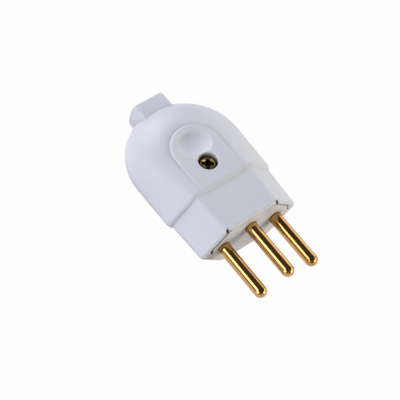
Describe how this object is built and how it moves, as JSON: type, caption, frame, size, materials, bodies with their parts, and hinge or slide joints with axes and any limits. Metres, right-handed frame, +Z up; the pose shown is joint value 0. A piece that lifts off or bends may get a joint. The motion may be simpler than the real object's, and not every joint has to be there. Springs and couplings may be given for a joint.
{
  "type": "rewireable plug",
  "caption": "Rewireable mains plug with round pins, a hexagonal nose, two moulded half shells held by a cover screw, a thumb hollow and a cord neck.",
  "frame": {"origin": "middle of the line between the line and neutral pins, on the engagement face that meets the socket", "axes": "-Y along the pins out of the engagement face, +Y towards the cord neck, +X from the line pin to the neutral pin, +Z up through the cover screw; the flat underside faces -Z"},
  "size_m": [0.0378, 0.0717, 0.0201],
  "materials": {
    "housing": "satin moulded, cool white",
    "clamp": "satin moulded, cool white",
    "pin_brass": "polished",
    "cover_screw": "yellow plated",
    "small_steel": "zinc plated"
  },
  "bodies": {
    "root": {"top_cover": "housing", "base_half": "housing", "cord_clamp": "clamp", "line_pin": "pin_brass", "neutral_pin": "pin_brass", "earth_pin": "pin_brass", "line_terminal_screw": "small_steel", "neutral_terminal_screw": "small_steel", "earth_terminal_screw": "small_steel", "cover_screw": "cover_screw", "cover_nut": "small_steel", "clamp_screw_left": "small_steel", "clamp_screw_right": "small_steel"}
  },
  "joints": []
}
